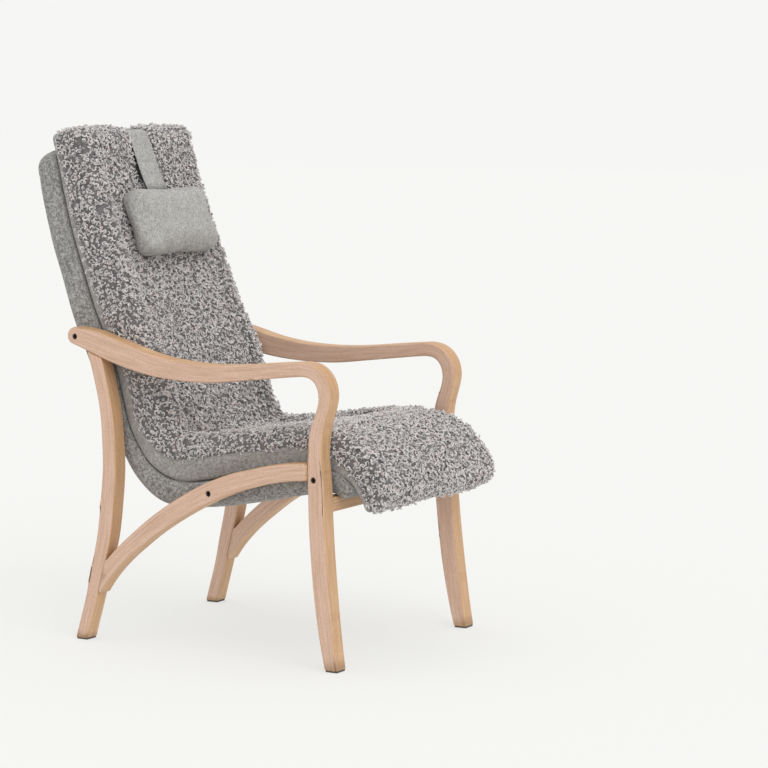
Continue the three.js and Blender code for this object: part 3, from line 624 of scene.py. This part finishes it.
def padRing(distance):
    (forward, _), _, (_, depth, band) = seat.at(distance)
    fromEnd = min(distance, seat.length - distance)
    top = depth - pad["curlRoom"] - cornerLoss(fromEnd, pad["corner"])
    half = (seatWidth["half"] + seatWidth["perForward"] * forward - pad["sideBulge"]
            - cornerLoss(fromEnd, pad["sideCorner"]))
    low = pad["clearance"]
    edge = min(pad["edge"], (top - band) * 0.72)
    foot = min(pad["bottomEdge"], (band - low) * 0.6)
    hollow = pad["hollow"]
    dip = (hollow["depth"] * smoothstep(hollow["from"], hollow["full"], distance)
           * (1 - smoothstep(hollow["back"], hollow["gone"], distance)))
    flat = row((half - edge, top), (0, top), 26) + [(0, top)]
    groove = pad["strapGroove"]
    deep = groove["depth"] * (1 - smoothstep(groove["until"] * 0.35, groove["until"], distance))
    crown = []
    for x, h in flat:
        lowered = dip * (1 - smoothstep(*hollow["rise"], x))
        lowered += deep * (1 - smoothstep(groove["half"], groove["half"] + groove["soft"], x))
        crown.append((x, h - lowered))
    return bothSides(
        row((0, low), (half - foot, low), 22) + arc(half - foot, low + foot, foot, -90, 0, 4)[:-1]
        + row((half, low + foot), (half, band), 4)
        + row((half, band), (half, top - edge), 5)
        + arc(half - edge, top - edge, edge, 0, 90, 8)[:-1] + crown)


padStations = sorted(set(
    [pad["corner"] * (1 - math.cos(a)) for a in np.linspace(0, math.pi / 2, 7)]
    + list(np.arange(pad["corner"] + 5, seat.length - pad["corner"] - 3, pad["step"]))
    + [seat.length - pad["corner"] * (1 - math.cos(a)) for a in np.linspace(0, math.pi / 2, 7)]))
padPiece = sweep("pad", padFelt, padStations, padRing, capSteps=6, seam=pad["seamPoint"])
swell(padPiece, 4, pad["swell"])
print("pad swept", len(padPiece.data.vertices))


def splitPad(whole, name, keepFleece, material):
    # the part above or below the seam at the top of the band, closed across inside the pad
    bm = bmesh.new()
    bm.from_mesh(whole.data)
    ringLayer, stationLayer = bm.verts.layers.int["ring"], bm.verts.layers.int["station"]
    seam = pad["seamPoint"]
    last = max(v[ringLayer] for v in bm.verts) + 1 - seam

    def isFleece(face):
        return all(seam <= v[ringLayer] <= last for v in face.verts)

    gone = [face for face in bm.faces if isFleece(face) != keepFleece]
    bmesh.ops.delete(bm, geom=gone, context="FACES")
    across = {}
    for vert in bm.verts:
        if vert[ringLayer] in (seam, last):
            across.setdefault(vert[stationLayer], {})[vert[ringLayer]] = vert
    for number in sorted(across)[:-1]:
        here, following = across[number], across[number + 1]
        bmesh.ops.contextual_create(bm, geom=[here[seam], here[last], following[last], following[seam]])
    bmesh.ops.recalc_face_normals(bm, faces=bm.faces)
    return meshPiece(name, bm, material)


fleecePiece = splitPad(padPiece, "padFleece", True, shearling)
bandPiece = splitPad(padPiece, "padBand", False, padFelt)
bpy.data.objects.remove(padPiece)

# Curls of the fleece
curls = {
    "area": 46,  # mm2 of skin for each curl
    "kinds": 12, "sides": 4, "segments": 7,
    "turn": (0.5, 1.15), "radius": (2.8, 4.4), "height": (4, 7), "thickness": (1.6, 2.5),
    "size": (0.75, 1.3), "tilt": 0.9, "lean": 0.6,
    "closing": 0.35,  # share of the radius that a lock loses towards its tip
    "fullTurn": 6.3,
    # tones on the colour ramp: the skin's dark tone is painted shade in the gaps, and a lock starts darker at
    # its root as painted shade and rises towards the tip, with a random spread
    "gapShadeTone": 0.05, "shadedRootTone": 0.45, "toneRise": 0.45, "toneSpread": 0.16,
    "rootDepth": 0.8,  # mm below the skin
    "largestFace": 400,  # mm2; a larger face closes the fleece inside the pad
    "bareShare": 0.8,  # of the strap's groove
    "besideFrame": 0.9,
    "seed": 7,
}


def curlKind(rng, number):
    # a lock: a ring of points grown along a rising, closing spiral
    turns, radius, height, thick = (rng.uniform(*curls[k]) for k in ("turn", "radius", "height", "thickness"))
    shade = rng.uniform(-curls["toneSpread"], curls["toneSpread"])
    bm = bmesh.new()
    lockLayer = bm.verts.layers.float.new("lock")
    count = curls["segments"]
    ring = bmesh.ops.create_circle(bm, cap_ends=True, segments=curls["sides"], radius=thick * mm)["verts"]
    for step in range(count + 1):
        share = step / count
        angle = turns * 2 * math.pi * share
        reach = radius * (1 - curls["closing"] * share)
        centre = Vector((reach * math.cos(angle) - radius, reach * math.sin(angle),
                         height * (share ** 0.8))) * mm
        ahead = Vector((-math.sin(angle) * reach * turns * curls["fullTurn"],
                        math.cos(angle) * reach * turns * curls["fullTurn"], height))
        turned = ahead.to_track_quat("Z", "Y").to_matrix().to_4x4()
        if step:
            ring = growRing(bm, ring)
        width = thick * (1 - 0.5 * share ** 2) * mm
        for i, vert in enumerate(ring):
            a = 2 * math.pi * i / len(ring)
            vert.co = centre + (turned @ Vector((width * math.cos(a), width * math.sin(a), 0)))
            # darker at the root as painted shade among the locks, paler towards the tip, with the lock's
            # random tone
            vert[lockLayer] = min(max(curls["shadedRootTone"] + curls["toneRise"] * share + shade, 0), 1)
    bmesh.ops.contextual_create(bm, geom=ring)
    bmesh.ops.recalc_face_normals(bm, faces=bm.faces)
    mesh = bpy.data.meshes.new(f"curl{number}")
    bm.to_mesh(mesh)
    bm.free()
    return mesh


def coverWithCurls(piece, skip):
    rng = random.Random(curls["seed"])
    kinds = [curlKind(rng, i) for i in range(curls["kinds"])]
    skin = piece.data
    lie = np.zeros(len(skin.vertices) * 3, np.float32)
    skin.attributes["lie"].data.foreach_get("vector", lie)
    lie = lie.reshape(-1, 3) / mm
    bm = bmesh.new()
    bm.from_mesh(skin)
    layer = bm.verts.layers.float.new("lock")
    # the skin between the curls is painted dark, as the shade in the gaps
    for vert in bm.verts:
        vert[layer] = curls["gapShadeTone"]
    placed = 0
    for face in skin.polygons:
        if len(face.vertices) > 4 or face.area > curls["largestFace"] * mm * mm:
            continue
        corners = [skin.vertices[i].co for i in face.vertices]
        faceLie = lie[list(face.vertices)].mean(0)
        for _ in range(int(face.area / mm / mm / curls["area"] + rng.random())):
            u, v, spin = rng.random(), rng.random(), rng.uniform(0, 2 * math.pi)
            size, kind = rng.uniform(*curls["size"]), rng.choice(kinds)
            tilt = Vector((rng.uniform(-1, 1), rng.uniform(-1, 1), 0)) * curls["tilt"]
            amount = skip(faceLie, face.normal)
            if not amount:
                continue
            low, high = corners[0].lerp(corners[1], u), corners[-1].lerp(corners[-2], u)
            out = (face.normal + (face.normal.to_track_quat("Z", "Y") @ tilt) * curls["lean"]).normalized()
            place = (Matrix.Translation(low.lerp(high, v) - face.normal * curls["rootDepth"] * mm)
                     @ out.to_track_quat("Z", "Y").to_matrix().to_4x4()
                     @ Matrix.Rotation(spin, 4, "Z") @ Matrix.Scale(size * amount, 4))
            copy = kind.copy()
            copy.transform(place)
            bm.from_mesh(copy)
            bpy.data.meshes.remove(copy)
            placed += 1
    bm.to_mesh(skin)
    bm.free()
    skin.shade_smooth()
    print("curls", placed)


def curlRule(lie, normal):
    # no curls where the strap lies, and shorter ones beside the side frames
    x, distance, height = lie
    groove = pad["strapGroove"]
    if abs(x) < groove["half"] and distance < groove["until"] * curls["bareShare"]:
        return 0
    band = seat.at(distance)[2][2]
    if height < band + 0.5:
        return 0
    if abs(normal.x) > 0.75:
        return curls["besideFrame"]
    return 1


coverWithCurls(fleecePiece, curlRule)
for piece, node, name in ((fleecePiece, ("pad_fleece", "pad_core"), "shearling"),
                          (bandPiece, ("pad_cover",), "felt")):
    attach(piece, "root")
    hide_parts(*node)

# Neck pillow
joints = {joint["name"]: joint for joint in frame["joints"]}


def tiltedPlace(node, jointName):
    # the middle of a node, turned so that Z runs along its joint
    low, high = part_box(node)
    axis = Vector(joints[jointName]["axis"]).normalized()
    return Matrix.Translation((low + high) / 2) @ Matrix.Rotation(-math.atan2(axis.y, axis.z), 4, "X")


def softBox(name, size, corner, segments, voxel, material):
    # a box with rounded edges, in even small faces, in mm
    bm = bmesh.new()
    bmesh.ops.create_cube(bm, size=1)
    bmesh.ops.scale(bm, vec=Vector(size) * mm, verts=bm.verts)
    bmesh.ops.bevel(bm, geom=bm.edges[:], offset=corner * mm, segments=segments, profile=0.5,
                    affect="EDGES", material=-1)
    piece = meshPiece(name, bm, material)
    remesh = piece.modifiers.new("even", "REMESH")
    remesh.mode = "VOXEL"
    remesh.voxel_size = voxel * mm
    shown = bpy.data.meshes.new_from_object(piece.evaluated_get(bpy.context.evaluated_depsgraph_get()))
    piece.modifiers.clear()
    shown.name = name
    piece.data = shown
    if not shown.materials:
        shown.materials.append(material)
    shown.shade_smooth()
    return piece


def subdivideOnce(piece):
    bm = bmesh.new()
    bm.from_mesh(piece.data)
    bmesh.ops.subdivide_edges(bm, edges=bm.edges[:], cuts=1, use_grid_fill=True)
    for _ in range(2):
        bmesh.ops.smooth_vert(bm, verts=bm.verts, factor=0.5, use_axis_x=True, use_axis_y=True,
                              use_axis_z=True)
    bm.to_mesh(piece.data)
    bm.free()
    piece.data.shade_smooth()


pillow = {"size": (260, 60, 146), "corner": 24, "voxel": 4, "swell": 7, "pressure": 4,
          "sink": 8,  # mm into the fleece, which gives way behind it
          "seamFromEnd": 12, "seamDepth": 1.2, "seamWidth": 2.4}
pillowPiece = softBox("neckPillow", pillow["size"], pillow["corner"], 5, pillow["voxel"], pillowFelt)
swell(pillowPiece, pillow["pressure"], pillow["swell"])
subdivideOnce(pillowPiece)


def seamRing(piece, at, depth, width):
    # a sewn line round the piece: a narrow groove between slightly raised lips
    mesh = piece.data
    place = np.array([v.co for v in mesh.vertices])
    normals = np.array([v.normal for v in mesh.vertices])
    away = (np.abs(place[:, 0]) / mm - at) / width
    inwards = depth * np.exp(-away ** 2) - 0.25 * depth * np.exp(-((np.abs(away) - 2.2) ** 2))
    mesh.vertices.foreach_set("co", (place - normals * inwards[:, None] * mm).ravel())
    mesh.update()


seamRing(pillowPiece, pillow["size"][0] / 2 - pillow["seamFromEnd"], pillow["seamDepth"], pillow["seamWidth"])
pillowPiece.data.transform(tiltedPlace("neck_pillow_cover", "neck_pillow_slide")
                           @ Matrix.Translation((0, pillow["sink"] * mm, 0)))
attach(pillowPiece, "neck_pillow")
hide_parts("neck_pillow_cover", "neck_pillow_filling")
print("pillow made")

# Counterweight
pouch = {"size": (108, 19, 124), "corner": 7, "voxel": 3, "swell": 2, "pressure": 2}
pouchPiece = softBox("counterweightPouch", pouch["size"], pouch["corner"], 4, pouch["voxel"], pillowFelt)
swell(pouchPiece, pouch["pressure"], pouch["swell"])
pouchPiece.data.transform(tiltedPlace("counterweight_pouch", "counterweight_slide"))
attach(pouchPiece, "counterweight")
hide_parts("counterweight_pouch")

# Strap
strap = {
    "weld": 0.02, "flat": 0.3, "sharp": 0.8,  # mm, degrees and radians
    "edge": 0.9,
    "splitBehind": 75,  # mm behind the heel, where the front and the rear stretch meet
    "fixedTop": 25, "fixedEnd": 6,  # mm at the back's top and at the pillow or the pouch
}


def strapPart(name, keepFront):
    # the strap in front of the back's top edge, or behind it
    bm = bmesh.new()
    bm.from_mesh(nodes["neck_strap"].data)
    bmesh.ops.remove_doubles(bm, verts=bm.verts, dist=strap["weld"] * mm)
    bmesh.ops.dissolve_limit(bm, verts=bm.verts, edges=bm.edges, angle_limit=math.radians(strap["flat"]))
    bmesh.ops.bisect_plane(bm, geom=bm.verts[:] + bm.edges[:] + bm.faces[:], dist=1e-6, clear_outer=True,
                           plane_co=(0, heel + strap["splitBehind"] * mm, 0),
                           plane_no=(0, 1 if keepFront else -1, 0))
    bmesh.ops.holes_fill(bm, edges=[e for e in bm.edges if e.is_boundary], sides=0)
    bm.normal_update()
    sides = [e for e in bm.edges if len(e.link_faces) == 2 and e.calc_face_angle() > strap["sharp"]
             and abs(e.link_faces[0].normal.x) + abs(e.link_faces[1].normal.x) > 0.8]
    bmesh.ops.bevel(bm, geom=sides, offset=strap["edge"] * mm, segments=2, profile=0.5, affect="EDGES",
                    material=-1)
    places = [(v.co.x, v.co.z, v.co.y) for v in bm.verts]
    piece = meshPiece(name, bm, strapFelt)
    vectorAttribute(piece, "lie", places)
    return piece


frontStrap, rearStrap = strapPart("strapFront", True), strapPart("strapRear", False)
for piece, body, node in ((frontStrap, "neck_pillow", "neck_pillow_cover"),
                          (rearStrap, "counterweight", "counterweight_pouch")):
    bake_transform(piece)
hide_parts("neck_strap")
print("strap made")

# CAD pieces that keep their shape
finishes = {
    "_glide": pressedWool, "_dowel": birchPly, "_bolt": blackedSteel, "_spacer": blackedSteel,
    "_insert": turnedBrass, "shell_rail": birchPly, "_bar": birchPly, "webbing": elasticWebbing,
    "shell_zip": nylonCoil, "counterweight_bar": blackedSteel,
}
for name, node in nodes.items():
    if node.hide_render:
        continue
    found = [finish for part, finish in finishes.items() if part in name]
    if not found:
        print("no finish for", name)
        continue
    for place in node.material_slots:
        place.material = found[-1]

# Floor and light
studio = {"floor": "#8E8E8D", "floorGlow": 0.66, "world": "#F6F6F4"}
bm = bmesh.new()
bmesh.ops.create_grid(bm, x_segments=1, y_segments=1, size=30)
floorMaterial, _, floorShader = newMaterial("paintedFloor", Roughness=1.0, Specular_IOR_Level=0.0)
floorShader.inputs["Base Color"].default_value = linear(studio["floor"])
floorShader.inputs["Emission Color"].default_value = linear(studio["world"])
floorShader.inputs["Emission Strength"].default_value = studio["floorGlow"]
floor = meshPiece("floor", bm, floorMaterial, smooth=False)

world = bpy.data.worlds.new("studio")
scene.world = world
world.use_nodes = True
world.node_tree.nodes["Background"].inputs["Color"].default_value = linear(studio["world"])
world.node_tree.nodes["Background"].inputs["Strength"].default_value = 1

lamps = {  # where the light comes from, its softness in degrees and its strength
    "keyLight": ((-2.6, -4.2, 4.4), 45, 0.85),
    "topLight": ((0.5, 0.5, 4), 60, 0.25),
}
for name, (place, softness, strength) in lamps.items():
    lamp = bpy.data.lights.new(name, "SUN")
    lamp.angle, lamp.energy = math.radians(softness), strength
    lampObject = bpy.data.objects.new(name, lamp)
    lampObject.location = place
    lampObject.rotation_euler = (-Vector(place)).to_track_quat("-Z", "Y").to_euler()
    scene.collection.objects.link(lampObject)
print("studio made")
